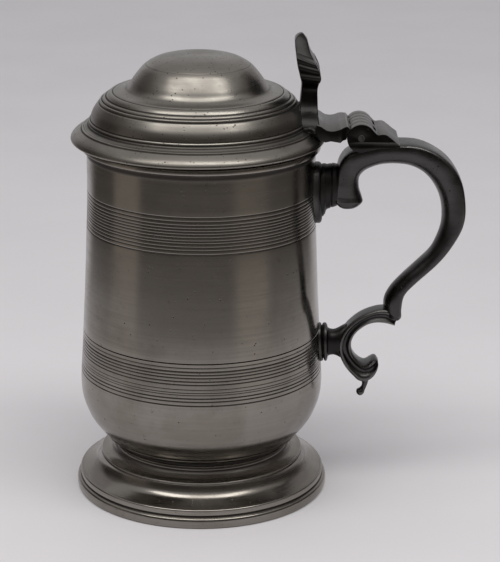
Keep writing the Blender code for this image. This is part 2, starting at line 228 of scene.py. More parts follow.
def apply_modifiers(obj):
    bpy.context.view_layer.update()
    evaluated = obj.evaluated_get(bpy.context.evaluated_depsgraph_get())
    mesh = bpy.data.meshes.new_from_object(evaluated)
    obj.modifiers.clear()
    obj.data = mesh


def cut_away(obj, other):
    """Cut other out of obj, and remove it."""
    modifier = obj.modifiers.new("cut", "BOOLEAN")
    modifier.operation = "DIFFERENCE"
    modifier.object = other
    modifier.solver = "EXACT"
    apply_modifiers(obj)
    bpy.data.objects.remove(other, do_unlink=True)


def slice_across(shape, axis, spot):
    """Add a row of edges all round a bmesh where it crosses spot mm along an axis."""
    normal = Vector([1.0 if i == axis else 0.0 for i in range(3)])
    bmesh.ops.bisect_plane(shape, geom=shape.verts[:] + shape.edges[:] + shape.faces[:],
                           plane_co=normal * spot * MM, plane_no=normal)


def unsettle(obj, amount, size, seed):
    """Push points about by up to amount mm, so that reflections waver as on old metal."""
    offset = Vector((seed * 3.7, seed * 1.3, seed * 2.1))
    normals = [v.normal.copy() for v in obj.data.vertices]
    for vert, normal in zip(obj.data.vertices, normals):
        shift = noise.noise(vert.co / (size * MM) + offset) * amount * MM
        vert.co += normal * shift


def place(obj, body, node, material):
    """Give a piece its material and body, and let it stand for its CAD node if it has one."""
    obj.data.materials.clear()
    obj.data.materials.append(material)
    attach(obj, body)
    if node:
        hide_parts(node)
    return obj


# ---------------------------------------------------------------- materials

# The dark coats on the metal: grime and painted shade in the grooves and nooks, pits in the turned
# pieces and the castings, and painted shade on the castings' faces across the handle.
TURNED_GRIME_AND_SHADE = (0.035, 0.032, 0.030)
TURNED_PIT = (0.03, 0.028, 0.025)
CAST_GRIME_AND_SHADE = (0.012, 0.011, 0.010)
CAST_PIT = (0.015, 0.014, 0.013)
CAST_SIDE_SHADE = (0.012, 0.0115, 0.011)


class Nodes:
    """A short way to write a node tree."""

    def __init__(self, tree):
        self.tree = tree

    def add(self, kind, inputs=None, **settings):
        node = self.tree.nodes.new("ShaderNode" + kind)
        for key, value in settings.items():
            setattr(node, key, value)
        for key, value in (inputs or {}).items():
            if isinstance(value, bpy.types.NodeSocket):
                self.tree.links.new(value, node.inputs[key])
            else:
                node.inputs[key].default_value = value
        return node

    def math(self, operation, a, b=0.0, clamp=False):
        node = self.add("Math", {0: a, 1: b}, operation=operation, use_clamp=clamp)
        return node.outputs[0]

    def plus(self, total, value, share, clamp=False):
        """total + value * share"""
        return self.math("ADD", total, self.math("MULTIPLY", value, share), clamp)

    def from_axis(self, axes):
        """The distance from the Z axis."""
        squares = [self.math("MULTIPLY", axes[i], axes[i]) for i in (0, 1)]
        return self.math("SQRT", self.math("ADD", *squares))

    def ramp(self, value, low, high, to_low=0.0, to_high=1.0):
        node = self.add("MapRange", {"Value": value, "From Min": low, "From Max": high,
                                     "To Min": to_low, "To Max": to_high},
                        interpolation_type="SMOOTHSTEP")
        return node.outputs["Result"]

    def noise(self, vector, scale, detail=3.0, roughness=0.55, distortion=0.0):
        node = self.add("TexNoise", {"Vector": vector, "Scale": scale, "Detail": detail,
                                     "Roughness": roughness, "Distortion": distortion})
        return node.outputs["Fac"]

    def mix(self, factor, a, b):
        node = self.add("Mix", data_type="RGBA", blend_type="MIX")
        for key, value in ((0, factor), (6, a), (7, b)):
            if isinstance(value, bpy.types.NodeSocket):
                self.tree.links.new(value, node.inputs[key])
            else:
                node.inputs[key].default_value = value if key == 0 else (*value, 1.0)
        return node.outputs[2]

    def cover(self, colour, mask, share, coat):
        """Lay a coat over a colour where the mask is, by up to share."""
        return self.mix(self.math("MULTIPLY", mask, share), colour, coat)


def new_material(name):
    material = bpy.data.materials.new(name)
    material.use_nodes = True
    tree = material.node_tree
    return material, Nodes(tree), tree.nodes["Principled BSDF"]


def connect_metal(n, shader, colour, rough, height):
    """Give a metal its colour, its roughness and its relief in metres."""
    bump = n.add("Bump", {"Height": height, "Strength": 1.0, "Distance": 1.0})
    n.tree.links.new(colour, shader.inputs["Base Color"])
    n.tree.links.new(rough, shader.inputs["Roughness"])
    n.tree.links.new(bump.outputs[0], shader.inputs["Normal"])
    shader.inputs["Metallic"].default_value = 1.0


def pitting(n, position, cell, size, threshold):
    """Scattered small pits: 1 in a pit, 0 elsewhere; noise decides which cells have one."""
    cells = n.add("TexVoronoi", {"Vector": position, "Scale": 1000.0 / cell, "Randomness": 1.0})
    inside = n.ramp(cells.outputs["Distance"], size * 0.5, size, 1.0, 0.0)
    where = n.ramp(n.noise(position, 260.0, 2.0), threshold, threshold + 0.08)
    return n.math("MULTIPLY", inside, where)


def turned_pewter(name, base, patina, roughness, pits, lathe):
    """Old pewter finished on a lathe: rings of fine marks, clouds of patina, grime and painted
    shade in grooves.

    pits is the level that the noise must pass for a pit, and lathe how deep the turning marks are.
    """
    material, n, shader = new_material(name)
    position = n.add("TexCoord").outputs["Object"]
    axes = n.add("SeparateXYZ", {0: position}).outputs
    turn = n.math("ARCTAN2", axes[1], axes[0])
    along = n.math("SUBTRACT", axes[2], n.from_axis(axes))
    rings = n.add("CombineXYZ", {0: n.math("MULTIPLY", turn, 0.6),
                                 1: n.math("MULTIPLY", along, 900.0)}).outputs[0]
    coarse = n.add("CombineXYZ", {0: n.math("MULTIPLY", turn, 0.8),
                                  1: n.math("MULTIPLY", along, 260.0)}).outputs[0]
    marks = n.noise(rings, 1.0, 4.0, 0.65)
    bands = n.noise(coarse, 1.0, 3.0)
    clouds = n.noise(position, 34.0, 5.0, 0.6, 0.4)
    specks = n.noise(position, 420.0, 3.0, 0.6)
    hollow = n.add("Attribute", attribute_name="hollow").outputs["Fac"]
    # Grime and painted shade: the colour darkens where the turned profile is hollow.
    grime_and_shade = n.ramp(hollow, 0.03, 0.12)
    proud = n.ramp(hollow, -0.04, -0.30)
    pit = pitting(n, position, 1.7, 0.24, pits)

    colour = n.mix(n.ramp(clouds, 0.38, 0.66), base, patina)
    colour = n.mix(n.ramp(bands, 0.3, 0.7, 0.0, 0.15), colour, [c * 1.2 for c in base])
    colour = n.mix(n.ramp(marks, 0.35, 0.7, 0.0, 0.16), colour, [c * 0.6 for c in patina])
    colour = n.mix(n.ramp(specks, 0.60, 0.78, 0.0, 0.35), colour, [c * 0.45 for c in patina])
    colour = n.cover(colour, proud, 0.30, [c * 1.35 for c in base])
    colour = n.cover(colour, grime_and_shade, 0.85, TURNED_GRIME_AND_SHADE)
    colour = n.cover(colour, pit, 0.85, TURNED_PIT)

    rough = n.ramp(clouds, 0.3, 0.7, roughness - 0.04, roughness + 0.07)
    rough = n.plus(rough, n.ramp(marks, 0.3, 0.7), 0.06)
    rough = n.plus(rough, grime_and_shade, 0.3, True)
    rough = n.plus(rough, pit, 0.3, True)

    height = n.math("MULTIPLY", marks, 0.0000022 * lathe)
    height = n.plus(height, bands, 0.0000045 * lathe)
    height = n.plus(height, specks, 0.0000050)
    height = n.plus(height, pit, -0.00005)
    connect_metal(n, shader, colour, rough, height)

    tangent = n.add("Tangent", direction_type="RADIAL", axis="Z").outputs[0]
    n.tree.links.new(tangent, shader.inputs["Tangent"])
    shader.inputs["Anisotropic"].default_value = 0.3
    shader.inputs["Anisotropic Rotation"].default_value = 0.25
    return material


def cast_pewter(name, base, wear_and_highlight, roughness, side_shade=0.0):
    """Cast pewter with a near-black skin, paler on its arrises: partly wear, partly painted
    highlight.

    The last argument is how much darker the faces across the handle are: painted shade.
    """
    material, n, shader = new_material(name)
    position = n.add("TexCoord").outputs["Object"]
    clouds = n.noise(position, 70.0, 5.0, 0.6, 0.3)
    grain = n.noise(position, 900.0, 3.0, 0.6)
    scraped = n.noise(n.add("Mapping", {0: position, 3: (60.0, 60.0, 600.0)}).outputs[0], 1.0, 4.0)
    # Wear and painted highlight: the colour pales on sharp edges, found by pointiness.
    edge = n.ramp(n.add("NewGeometry").outputs["Pointiness"], 0.515, 0.60)
    # Grime and painted shade: the colour darkens where ambient occlusion finds a nook.
    nook = n.add("AmbientOcclusion", {"Distance": 0.004}, samples=4, only_local=True)
    grime_and_shade = n.ramp(nook.outputs["AO"], 0.85, 0.35)
    pit = pitting(n, position, 2.1, 0.22, 0.55)

    colour = n.mix(n.ramp(clouds, 0.35, 0.7), base, [c * 1.35 for c in base])
    colour = n.mix(n.ramp(scraped, 0.55, 0.8, 0.0, 0.35), colour, [c * 1.7 for c in base])
    colour = n.cover(colour, edge, 0.7, wear_and_highlight)
    # Painted shade: faces turned across the handle are darkened by their normal.
    facing = n.add("SeparateXYZ", {0: n.add("NewGeometry").outputs["Normal"]}).outputs[1]
    across = n.ramp(n.math("ABSOLUTE", facing), 0.25, 0.60, 0.0, side_shade)
    colour = n.mix(across, colour, CAST_SIDE_SHADE)
    colour = n.cover(colour, grime_and_shade, 0.8, CAST_GRIME_AND_SHADE)
    colour = n.cover(colour, pit, 0.7, CAST_PIT)

    rough = n.ramp(clouds, 0.3, 0.7, roughness - 0.06, roughness + 0.10)
    rough = n.plus(rough, grime_and_shade, 0.25, True)

    height = n.math("MULTIPLY", grain, 0.000010)
    height = n.plus(height, scraped, 0.000030)
    height = n.plus(height, clouds, 0.00012)
    height = n.plus(height, pit, -0.00010)
    connect_metal(n, shader, colour, rough, height)
    return material


# ---------------------------------------------------------------- turned pieces

WALL = [(51.9, 161.6), (51.9, 143.4), (52.15, 134.0), (52.55, 124.5), (52.9, 115.0),
        (53.3, 105.5), (53.75, 96.0), (54.3, 86.0), (54.8, 76.0), (55.35, 66.5), (55.8, 60.0),
        (56.05, 55.0), (56.1, 51.5), (55.75, 46.8), (54.97, 43.3), (53.8, 40.0), (52.3, 36.6),
        (50.1, 33.2), (47.8, 30.3), (46.2, 28.6)]
SEAM_Z = 77.2
# The incised lines, as (height, depth).
UPPER_REEDING = [(143.5, 0.17), (141.7, 0.15), (140.0, 0.15), (138.6, 0.12), (137.3, 0.12),
                 (136.0, 0.12), (134.6, 0.12), (133.1, 0.12), (131.9, 0.12), (130.3, 0.12),
                 (128.8, 0.13), (127.0, 0.17)]
LOWER_REEDING = [(75.6, 0.06), (73.9, 0.17), (72.4, 0.11), (71.0, 0.11), (69.4, 0.11),
                 (67.9, 0.11), (65.7, 0.05), (64.2, 0.05), (63.2, 0.05), (61.6, 0.12),
                 (60.1, 0.12), (58.2, 0.13)]
# Half of a line's cross-section: (distance from its middle in half widths, share of its depth).
LINE_SECTION = [(1.5, 0.0), (1.0, 0.04), (0.55, 0.55), (0.12, 1.0)]
LINE_REACH = 1.6            # half widths kept clear of the wall's own points
WALL_CURVE = smooth(WALL, 10)


def wall_radius(height):
    heights = [z for _, z in reversed(WALL_CURVE)]
    radii = [r for r, _ in reversed(WALL_CURVE)]
    return float(np.interp(height, heights, radii))


def reeded(top, bottom, lines, spacing=3.0):
    """The wall between two heights, with V-shaped incised lines."""
    marks = {}
    for z in np.arange(top, bottom, -spacing):
        marks[float(z)] = 0.0
    marks[bottom] = 0.0
    for z, depth in lines:
        half = 0.18 + depth * 1.2
        for other in list(marks):
            if abs(other - z) < half * LINE_REACH and other not in (top, bottom):
                del marks[other]
        for offset, share in LINE_SECTION:
            for side in (-1, 1):
                marks[z + side * offset * half] = depth * share
    return [(wall_radius(z) - marks[z], z) for z in sorted(marks, reverse=True)]


def make_drum(material):
    lip = [(49.9, 165.3), (53.2, 165.3)] + arc(53.3, 164.4, 0.9, 80, 0, 6)
    lip += [(54.25, 163.5), (54.1, 163.0), (53.6, 162.7), (52.9, 162.6), (52.2, 162.3),
            (51.95, 161.9)]
    wall = reeded(161.6, SEAM_Z + 0.4, UPPER_REEDING)
    foot = [(54.2, SEAM_Z + 0.15), (52.4, SEAM_Z + 0.15)]
    inner = smooth([(51.1, 105.5), (50.2, 124.5), (49.7, 143.4), (49.7, 164.9)], 6)
    obj = turned("drum_wall", lip + wall + foot, inner)
    unsettle(obj, 0.05, 26.0, 1)
    return place(obj, "vessel", "drum", material)


def make_bowl(material):
    wall = [(54.2, SEAM_Z - 0.05), (54.6, SEAM_Z - 0.1)]
    wall += reeded(SEAM_Z - 0.2, 28.6, LOWER_REEDING, 2.0)
    under = [(45.9, 28.3), (45.4, 28.1), (44.2, 28.0)]
    inner = [(44.2, 31.1)] + smooth([(44.4, 31.2), (46.6, 33.0), (49.5, 37.2), (51.6, 41.4),
                                     (52.9, 45.6), (53.6, 51.0), (53.5, 57.0),
                                     (52.4, SEAM_Z - 0.05)], 5)
    obj = turned("bellied_bowl", wall + under, inner)
    unsettle(obj, 0.05, 26.0, 2)
    return place(obj, "vessel", "bowl", material)


def make_base_disc(material):
    top = [(0.0, 31.0)] + smooth([(3.0, 31.0), (20.0, 31.05), (40.0, 31.0), (43.6, 30.9)], 4)
    edge = arc(43.5, 30.5, 0.4, 60, -60, 4)
    bottom = [(43.2, 28.5), (30.0, 28.4), (29.4, 28.6), (28.8, 28.4), (6.0, 28.4), (0.0, 28.4)]
    obj = turned("base_disc_turned", top + edge, bottom)
    return place(obj, "vessel", "base_disc", material)


def make_foot(material):
    outer = [(45.3, 27.6), (45.45, 27.2), (45.2, 26.8)]
    outer += smooth([(45.0, 26.7), (43.6, 26.2), (41.8, 25.1), (40.7, 23.9), (40.5, 23.2)], 4)
    outer += smooth([(40.9, 23.0), (41.2, 22.5), (40.9, 21.9)], 3)
    outer += smooth([(40.6, 21.8), (40.8, 20.6), (41.8, 19.2), (43.4, 18.2), (45.2, 17.65),
                     (46.5, 17.45)], 5)
    outer += smooth([(46.9, 17.35), (47.15, 17.0), (47.1, 16.6)], 3)
    outer += smooth([(47.4, 16.3), (47.9, 14.8), (48.8, 13.1), (50.2, 11.7), (52.2, 10.5),
                     (54.4, 9.4), (56.1, 8.65)], 5)
    outer += arc(56.3, 7.75, 0.85, 62, 0, 6)
    outer += [(57.15, 5.95), (56.75, 5.6), (56.7, 5.2), (57.0, 4.95)]
    outer += smooth([(57.6, 4.85), (58.3, 4.4), (58.65, 3.5), (58.7, 2.0), (58.6, 0.8),
                     (58.3, 0.2)], 4)
    outer += [(58.0, 0.0)]
    inner = [(55.0, 0.0), (54.6, 0.3)]
    inner += smooth([(54.4, 4.0), (50.0, 8.6), (46.2, 11.6), (44.6, 14.8), (40.0, 17.6),
                     (38.2, 20.6), (38.0, 27.6)], 4)
    obj = turned("stepped_foot", outer, inner)
    unsettle(obj, 0.04, 24.0, 3)
    return place(obj, "vessel", "foot_ring", material)


def make_lid(material):
    outer = smooth([(0.0, 205.0), (6.0, 204.95), (11.0, 204.7), (15.5, 204.1), (19.0, 203.1),
                    (22.0, 201.6), (23.2, 200.85)], 5)
    outer += [(23.4, 200.62)]
    outer += smooth([(23.7, 200.48), (25.0, 199.4), (27.4, 196.6), (29.4, 193.9), (30.9, 191.6),
                     (32.4, 190.1), (34.6, 189.2), (37.6, 188.7)], 5)
    outer += [(38.1, 188.45), (38.35, 188.2), (38.7, 188.3)]
    outer += smooth([(39.1, 188.25), (39.9, 187.85), (40.6, 187.2), (41.0, 186.7)], 4)
    outer += [(41.35, 186.15), (41.75, 186.1)]
    outer += smooth([(42.0, 186.15), (42.6, 185.85), (42.95, 185.35)], 3)
    outer += [(43.1, 184.85), (43.35, 184.8)]
    outer += smooth([(43.6, 184.9), (44.1, 184.65), (44.3, 184.2)], 3)
    outer += [(44.35, 183.65), (44.65, 183.45)]
    outer += smooth([(45.0, 183.25), (46.0, 181.9), (47.45, 179.6), (48.25, 177.4),
                     (48.45, 176.2)], 6)
    outer += [(48.55, 175.9), (49.0, 175.85), (49.25, 175.6), (49.2, 175.1), (48.95, 174.7)]
    outer += smooth([(49.1, 174.4), (49.6, 173.6), (50.6, 172.95), (51.6, 172.6)], 4)
    outer += [(52.1, 172.55), (52.4, 172.35), (52.45, 172.0)]
    outer += smooth([(52.8, 171.7), (54.4, 170.75), (56.0, 169.65), (57.0, 168.6),
                     (57.5, 167.5), (57.3, 166.8), (56.7, 166.5)], 5)
    inner = smooth([(55.6, 166.5), (53.2, 166.3), (52.6, 165.7)], 3)
    inner += [(47.9, 165.6), (47.9, 168.0)]
    inner += smooth([(47.6, 170.0), (47.0, 175.4), (44.4, 180.2), (41.0, 183.8), (36.0, 186.2),
                     (31.4, 187.4), (28.2, 191.0), (24.6, 195.6), (20.6, 198.8), (12.0, 201.8),
                     (0.0, 202.6)], 4)
    obj = turned("domed_lid", outer, inner, LID_SHIFT)
    unsettle(obj, 0.06, 15.0, 4)
    return place(obj, "lid", "lid_cover", material)


def make_bezel(material):
    outer = [(46.2, 167.6), (47.6, 167.6), (47.6, 161.2)] + arc(47.1, 160.9, 0.5, 10, -80, 5)
    inner = [(46.2, 160.4), (45.8, 160.8), (45.8, 167.2)]
    obj = turned("lid_bezel_ring", outer, inner, LID_SHIFT)
    return place(obj, "lid", "lid_bezel", material)


# ---------------------------------------------------------------- handle

# Each section is (depth, width): depth 0 on the back, 1 on the belly, width as a share of the
# half width there. The back is a shallow crown between two crisp arrises.
BAR_SECTION = [(-0.02, 0.0), (-0.015, 0.45), (0.0, 0.80), (0.03, 0.93), (0.075, 0.985),
               (0.16, 1.0), (0.30, 1.0), (0.45, 0.98), (0.58, 0.93), (0.70, 0.85), (0.81, 0.73),
               (0.90, 0.56), (0.965, 0.33), (0.99, 0.12), (1.0, 0.0)]
CHANNEL_SECTION = [(-0.03, 0.0), (-0.02, 0.5), (0.0, 0.82), (0.05, 0.95), (0.13, 1.0),
                   (0.24, 0.99), (0.32, 0.90), (0.40, 0.76), (0.52, 0.72), (0.62, 0.76),
                   (0.70, 0.88), (0.78, 0.94), (0.88, 0.92), (0.96, 0.78), (1.0, 0.45),
                   (1.02, 0.0)]


def bar(name, back, belly, widths, section, per_span):
    """A curved bar between its back and belly outlines."""
    backs = smooth(back, per_span)
    bellies = smooth(belly, per_span)
    halves = np.interp(np.linspace(0, len(widths) - 1, len(backs)), range(len(widths)), widths)
    rings = []
    for outer, inner, half in zip(backs, bellies, halves):
        near = [(outer[0] + (inner[0] - outer[0]) * d, -half * w,
                 outer[1] + (inner[1] - outer[1]) * d) for d, w in section]
        far = [(x, -y, z) for x, y, z in reversed(near[1:-1])]
        rings.append(near + far)
    return skin(name, rings, 38.0)


def make_upper_scroll(material):
    back = [(66.6, 134.3), (64.6, 134.8), (62.6, 136.0), (61.0, 138.2), (60.6, 141.0),
            (61.2, 146.0), (62.4, 155.6), (65.6, 160.5), (71.0, 162.8),
            (79.0, 164.8), (88.0, 165.6), (98.2, 165.0), (107.0, 161.2), (114.1, 154.8),
            (118.4, 146.6), (120.05, 136.5), (119.3, 127.2), (114.6, 117.6),
            (107.9, 108.7), (98.9, 100.0), (93.4, 93.4), (92.3, 86.8), (92.3, 82.9), (91.2, 81.4)]
    belly = [(68.6, 134.2), (70.4, 134.7), (72.2, 135.8), (73.6, 137.4), (73.2, 139.6),
             (71.8, 144.2), (71.9, 149.0), (74.0, 151.9), (77.4, 153.8),
             (82.0, 155.2), (88.0, 155.6), (94.5, 154.7), (100.6, 151.6), (105.2, 146.8),
             (108.4, 140.6), (109.7, 133.4), (109.2, 125.5), (105.1, 115.6), (99.0, 108.9),
             (91.8, 102.1), (86.9, 96.4), (84.4, 91.0), (84.6, 85.8), (86.0, 82.6)]
    widths = [2.0, 4.2, 5.6, 6.5, 6.6, 7.4, 8.0, 8.6, 8.9, 9.0, 9.0, 9.0, 8.8, 8.6, 8.4, 8.2,
              7.9, 7.5, 7.1, 6.7, 6.4, 6.3, 6.2, 5.2]
    obj = bar("upper_scroll_bar", back, belly, widths, BAR_SECTION, 7)
    unsettle(obj, 0.14, 9.0, 5)
    return place(obj, "vessel", "upper_scroll", material)


def make_lower_scroll(material):
    back = [(90.6, 82.0), (88.8, 84.6), (86.0, 86.2), (82.4, 86.3), (78.6, 85.3), (74.0, 83.2),
            (70.2, 80.4), (67.1, 77.2), (64.9, 73.6), (63.8, 69.8), (63.9, 66.0), (65.2, 62.0),
            (67.8, 57.6), (70.8, 54.2), (73.6, 51.8), (76.8, 51.6), (79.8, 53.3), (81.8, 56.2),
            (82.6, 59.2), (82.3, 61.0)]
    belly = [(89.4, 78.4), (86.6, 79.3), (84.0, 79.8), (81.0, 79.9), (77.8, 79.2), (75.0, 77.6),
             (72.4, 75.4), (70.6, 72.8), (69.7, 70.0), (69.8, 66.9), (70.8, 64.2), (72.6, 61.8),
             (74.8, 60.2), (76.4, 59.8), (77.6, 60.4), (78.6, 61.2), (79.6, 61.9), (80.5, 62.2),
             (81.2, 62.1), (81.7, 61.8)]
    widths = [4.6, 4.9, 5.0, 5.0, 5.0, 5.0, 5.0, 5.1, 5.2, 5.3, 5.4, 5.5, 5.7, 5.9, 6.0, 6.0,
              5.8, 5.2, 4.0, 2.0]
    obj = bar("lower_scroll_bar", back, belly, widths, CHANNEL_SECTION, 7)
    unsettle(obj, 0.12, 7.0, 6)
    return place(obj, "vessel", "lower_scroll", material)


def make_curl(material):
    """The small curl hanging under the lower scroll, as stations of (x, z, radius)."""
    path = smooth([(76.6, 53.0, 2.6), (76.6, 50.6, 1.8), (76.5, 48.6, 1.3), (76.0, 47.0, 1.2),
                   (75.4, 45.9, 1.4), (74.8, 45.0, 1.8), (74.1, 44.4, 1.85), (73.4, 43.9, 1.4),
                   (73.0, 43.6, 0.4)], 4)
    rings = []
    for i, (x, z, radius) in enumerate(path):
        ahead = path[min(i + 1, len(path) - 1)]
        behind = path[max(i - 1, 0)]
        along = Vector((ahead[0] - behind[0], 0.0, ahead[1] - behind[1])).normalized()
        across = Vector((along.z, 0.0, -along.x)) * radius
        side = Vector((0.0, radius * 1.15, 0.0))
        rings.append([Vector((x, 0.0, z)) + across * math.cos(a) + side * math.sin(a)
                      for a in circle(20)])
    obj = skin("lower_scroll_curl", rings, 60.0)
    return place(obj, "vessel", None, material)


def fuller(value):
    """A sine or cosine swelled, to make a round a little squarer."""
    return math.copysign(abs(value) ** 0.8, value)


def boss(name, stations):
    """A boss standing on the wall, as (stand-off, centre, half height, half width, follow, tip).

    follow is 1 where the section hugs the round wall and 0 where it is flat. tip is the share
    of its width that it has lost at its lower end.
    """
    rings = []
    for off, centre, height, width, follow, tip in stations:
        ring = []
        for a in circle(56):
            y = width * fuller(math.cos(a))
            z = height * fuller(math.sin(a))
            if z < 0:
                y *= 1.0 - tip * (abs(z) / height) ** 1.6
            radius = wall_radius(centre + z) + off
            hugging = math.sqrt(radius ** 2 - y ** 2)
            flat = wall_radius(centre) + off
            ring.append((hugging * follow + flat * (1 - follow), y, centre + z))
        rings.append(ring)
    return skin(name, rings, 35.0)


def make_upper_socket(material):
    obj = boss("upper_socket_moulding", [
        (-0.5, 141.2, 14.2, 10.8, 1.0, 0.55), (1.6, 141.2, 14.2, 10.8, 1.0, 0.55),
        (2.4, 141.3, 13.7, 10.4, 1.0, 0.55), (2.7, 141.5, 13.0, 9.9, 1.0, 0.5),
        (2.9, 142.2, 12.2, 9.2, 0.95, 0.45), (3.6, 142.6, 12.0, 9.1, 0.9, 0.4),
        (4.4, 143.2, 11.5, 8.8, 0.75, 0.35), (4.8, 143.8, 10.7, 8.3, 0.6, 0.3),
        (5.3, 144.1, 10.3, 8.1, 0.5, 0.2), (6.2, 144.4, 10.2, 8.1, 0.3, 0.15),
        (6.8, 144.6, 10.2, 8.1, 0.15, 0.1), (7.2, 144.7, 9.8, 7.8, 0.1, 0.1),
        (7.7, 144.8, 10.1, 8.0, 0.0, 0.1), (8.4, 144.9, 10.0, 7.8, 0.0, 0.1),
        (9.8, 145.0, 9.6, 7.2, 0.0, 0.1), (11.4, 145.6, 8.4, 6.0, 0.0, 0.1)])
    return place(obj, "vessel", "upper_socket", material)


def make_lower_socket(material):
    centre = 69.3
    stations = [(-0.5, 8.9, 7.6, 1.0), (0.6, 8.9, 7.6, 1.0), (1.0, 8.5, 7.3, 1.0),
                (1.15, 7.7, 6.7, 0.9), (1.4, 7.6, 6.6, 0.8), (1.7, 8.5, 7.3, 0.7),
                (2.3, 8.9, 7.6, 0.5), (3.0, 8.7, 7.5, 0.3), (3.4, 7.9, 6.8, 0.2),
                (3.7, 6.6, 5.7, 0.0), (4.6, 6.1, 5.2, 0.0), (6.2, 5.9, 5.0, 0.0),
                (7.4, 6.2, 5.0, 0.0), (8.8, 6.9, 5.1, 0.0), (10.2, 7.8, 5.1, 0.0),
                (11.8, 8.8, 4.6, 0.0)]
    obj = boss("lower_socket_moulding", [(off, centre, high, wide, follow, 0.0)
                                         for off, high, wide, follow in stations])
    return place(obj, "vessel", "lower_socket", material)


# ---------------------------------------------------------------- hinge

KNUCKLE_WIDTH = (HINGE_WIDTH - (KNUCKLES - 1) * KNUCKLE_GAP) / KNUCKLES


def cut_slots(obj, indices, outline):
    """Cut the outline away where the other half's knuckles run."""
    for index in indices:
        middle = (index - (KNUCKLES - 1) / 2) * (KNUCKLE_WIDTH + KNUCKLE_GAP)
        slot = plate("slot", outline, KNUCKLE_WIDTH + 2 * KNUCKLE_GAP, middle)
        cut_away(obj, slot)


def bore_hinge(obj):
    outline = arc(HINGE_X, HINGE_Z, PIN_RADIUS + BORE_GAP, 0, 348, 29)
    cut_away(obj, plate("bore", outline, HINGE_WIDTH + 4))


def on_flank(vert):
    """Whether a point is on one of the hinge's two outer faces."""
    return abs(vert.co.y) > (HINGE_WIDTH / 2 - 0.1) * MM


def bulge_flanks(obj, low, high, amount):
    """Swell the outer faces of the hinge between two heights."""
    shape = bmesh.new()
    shape.from_mesh(obj.data)
    for share in (0.15, 0.3, 0.5, 0.7, 0.85, 1.0):
        slice_across(shape, 2, low + (high - low) * share)
    for vert in shape.verts:
        share = (vert.co.z / MM - low) / (high - low)
        if on_flank(vert) and 0.0 < share < 1.0:
            vert.co.y += math.copysign(amount * math.sin(math.pi * share) * MM, vert.co.y)
    shape.to_mesh(obj.data)
    shape.free()


def make_hinge_block(material):
    outline = arc(HINGE_X, HINGE_Z, KNUCKLE_RADIUS, 32, 240, 34)
    outline += [(70.6, 163.7), (72.4, 163.8), (79.0, 165.5), (88.9, 166.3), (89.1, 166.8)]
    outline += smooth([(88.5, 167.3), (86.6, 168.8), (85.4, 169.8), (84.4, 170.6)], 3)
    outline += smooth([(83.4, 171.4), (82.2, 171.9), (80.6, 171.9), (79.3, 171.7), (78.3, 172.2),
                       (77.7, 172.9)], 3)
    obj = plate("hinge_block_stepped", outline, HINGE_WIDTH)
    edge = HINGE_X + KNUCKLE_RADIUS + KNUCKLE_GAP
    cut_slots(obj, (1, 3), [(60.0, 160.0), (edge, 160.0), (edge, 180.0), (60.0, 180.0)])
    bore_hinge(obj)
    bulge_flanks(obj, 163.4, 168.4, 0.9)
    round_edges(obj, 0.45)
    return place(obj, "vessel", "hinge_block", material)


def make_hinge_pin(material):
    """A plain pin, flush at both ends and chamfered there."""
    end = HINGE_WIDTH / 2
    chamfer = 0.1
    rings = []
    for y, radius in ((-end, PIN_RADIUS - chamfer), (-end + chamfer, PIN_RADIUS),
                      (end - chamfer, PIN_RADIUS), (end, PIN_RADIUS - chamfer)):
        rings.append([(HINGE_X + radius * math.cos(a), y, HINGE_Z + radius * math.sin(a))
                      for a in circle(28)])
    return place(skin("hinge_pin_headed", rings), "vessel", "hinge_pin", material)


def widen_leaf(obj):
    """Broaden the leaf from its knuckles towards the lid."""
    stations = (54.0, 62.5, 64.8)
    shape = bmesh.new()
    shape.from_mesh(obj.data)
    for x in stations:
        slice_across(shape, 0, x)
    for vert in shape.verts:
        if on_flank(vert):
            extra = np.interp(vert.co.x / MM, stations, (2.4, 2.4, 0.1))
            vert.co.y += math.copysign(extra * MM, vert.co.y)
    shape.to_mesh(obj.data)
    shape.free()


def make_hinge_leaf(material):
    outline = smooth([(51.6, 176.6), (53.7, 175.8), (55.6, 174.5), (57.5, 173.9), (60.0, 174.0),
                      (63.5, 175.2), (65.3, 175.45)], 5)
    outline += [(65.8, 175.2), (66.5, 174.3)]
    outline += arc(HINGE_X, HINGE_Z, KNUCKLE_RADIUS, 138, -150, 38)
    outline += [(65.0, 169.6), (63.4, 169.4), (62.2, 168.6), (60.6, 168.9), (58.0, 169.3),
                (55.6, 168.8), (52.4, 170.0), (51.0, 172.0)]
    obj = plate("hinge_leaf_plate", outline, HINGE_WIDTH)
    slot = arc(HINGE_X, HINGE_Z, KNUCKLE_RADIUS + KNUCKLE_GAP, 100, 230, 18)
    slot += [(67.4, 160.0), (80.0, 160.0), (80.0, 180.0), (70.5, 180.0)]
    cut_slots(obj, (0, 2, 4), slot)
    bore_hinge(obj)
    widen_leaf(obj)
    round_edges(obj, 0.3)
    return place(obj, "lid", "hinge_leaf", material)


# ---------------------------------------------------------------- thumbpiece

